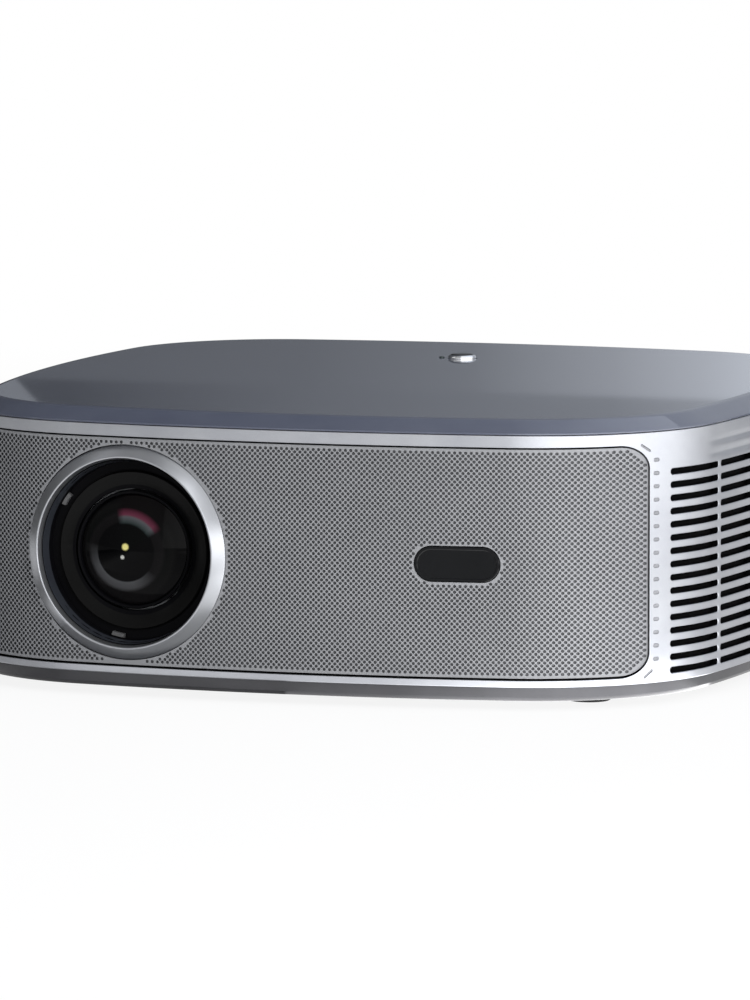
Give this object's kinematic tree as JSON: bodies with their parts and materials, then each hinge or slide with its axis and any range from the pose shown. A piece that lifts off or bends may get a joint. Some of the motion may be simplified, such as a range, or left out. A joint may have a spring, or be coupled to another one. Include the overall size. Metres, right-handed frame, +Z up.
{
  "type": "projector",
  "caption": "Squarish home projector: recessed round lens in a perforated front, glossy bevelled top, power button, side air slots, rear sockets, geared focus, fans and speakers inside.",
  "frame": {"origin": "under the middle of the four feet, on the surface the projector stands on, less than 1 mm behind the middle of the box in depth because the lens bezel stands proud of the front", "axes": "+X to the right seen from the front, +Y from the lens side to the rear, +Z up"},
  "size_m": [0.29, 0.2919, 0.1034],
  "materials": {
    "base_plastic": "fine texture",
    "frame_paint": "satin silver",
    "cover_paint": "glossy grey",
    "grille_paint": "painted, perforated",
    "black_plastic": "matte black",
    "gloss_black": "glossy black",
    "rubber": "matte",
    "steel": "plain",
    "brass": "plain",
    "bezel_metal": "satin silver",
    "lens_glass": "coated",
    "cast_metal": "cast",
    "bare_aluminium": "plain",
    "copper": "copper, plain",
    "board_green": "solder mask",
    "cone_grey": "paper",
    "button_chrome": "chromed"
  },
  "bodies": {
    "projector": {"bottom_case": "base_plastic", "mid_frame": "frame_paint", "top_cover": "cover_paint", "front_grille": "grille_paint", "front_carrier": "black_plastic", "vent_screen_left": "black_plastic", "vent_screen_right": "black_plastic", "lens_hood": "black_plastic", "exhaust_fan_frame": "black_plastic", "intake_fan_frame": "black_plastic", "rear_panel": "black_plastic", "audio_jack": "black_plastic", "power_inlet": "black_plastic", "autofocus_camera": "black_plastic", "speaker_inner": "black_plastic", "speaker_outer": "black_plastic", "sensor_window": "gloss_black", "foot_front_left": "rubber", "foot_front_right": "rubber", "foot_rear_left": "rubber", "foot_rear_right": "rubber", "case_screw_front_left": "steel", "case_screw_front_right": "steel", "case_screw_rear_left": "steel", "case_screw_rear_right": "steel", "focus_motor": "steel", "video_socket_1": "steel", "video_socket_2": "steel", "data_socket_1": "steel", "data_socket_2": "steel", "tripod_insert": "brass", "lens_bezel": "bezel_metal", "rear_lens": "lens_glass", "prism": "lens_glass", "status_light": "lens_glass", "lens_tube": "cast_metal", "optical_engine": "cast_metal", "engine_lid": "cast_metal", "imaging_chip_heat_sink": "bare_aluminium", "heat_sink": "bare_aluminium", "processor_heat_sink": "bare_aluminium", "led_module": "copper", "heat_pipe_1": "copper", "heat_pipe_2": "copper", "imaging_chip_board": "board_green", "main_board": "board_green", "power_supply": "board_green", "button_board": "board_green"},
    "power_button": {"power_button": "button_chrome"},
    "focus_ring": {"focus_ring": "black_plastic"},
    "focus_pinion": {"focus_pinion": "brass"},
    "lens_barrel": {"lens_barrel": "black_plastic", "front_lens": "lens_glass"},
    "exhaust_fan_rotor": {"exhaust_fan_rotor": "black_plastic"},
    "intake_fan_rotor": {"intake_fan_rotor": "black_plastic"},
    "speaker_cone_inner": {"speaker_cone_inner": "cone_grey"},
    "speaker_cone_outer": {"speaker_cone_outer": "cone_grey"}
  },
  "joints": [
    {"name": "power_button_press", "type": "slide", "parent": "projector", "child": "power_button", "axis": [0, 0, -1], "range_m": [0, 0.0008], "stiffness_N_per_m": 500, "springref_m": -0.0012},
    {"name": "focus_ring_turn", "type": "hinge", "parent": "projector", "child": "focus_ring", "pos_m": [-0.0586, -0.1116, 0.0514], "axis": [0, 1, 0], "range_deg": [-45, 45]},
    {"name": "focus_pinion_turn", "type": "hinge", "parent": "projector", "child": "focus_pinion", "pos_m": [-0.025, -0.1116, 0.0514], "axis": [0, 1, 0], "range_deg": [-226, 226]},
    {"name": "lens_focus_slide", "type": "slide", "parent": "projector", "child": "lens_barrel", "axis": [0, -1, 0], "range_m": [-0.0015, 0.0015]},
    {"name": "exhaust_fan_spin", "type": "hinge", "parent": "projector", "child": "exhaust_fan_rotor", "pos_m": [0.1205, -0.055, 0.049], "axis": [1, 0, 0], "continuous": true},
    {"name": "intake_fan_spin", "type": "hinge", "parent": "projector", "child": "intake_fan_rotor", "pos_m": [-0.1205, -0.055, 0.049], "axis": [1, 0, 0], "continuous": true},
    {"name": "speaker_cone_inner_stroke", "type": "slide", "parent": "projector", "child": "speaker_cone_inner", "axis": [0, -1, 0], "range_m": [-0.0005, 0.0005], "stiffness_N_per_m": 1500},
    {"name": "speaker_cone_outer_stroke", "type": "slide", "parent": "projector", "child": "speaker_cone_outer", "axis": [0, -1, 0], "range_m": [-0.0005, 0.0005], "stiffness_N_per_m": 1500}
  ],
  "couplings": [
    {"joint": "focus_pinion_turn", "follows": "focus_ring_turn", "ratio": -5},
    {"joint": "lens_focus_slide", "follows": "focus_ring_turn", "m_per_rad": 0.0019}
  ]
}
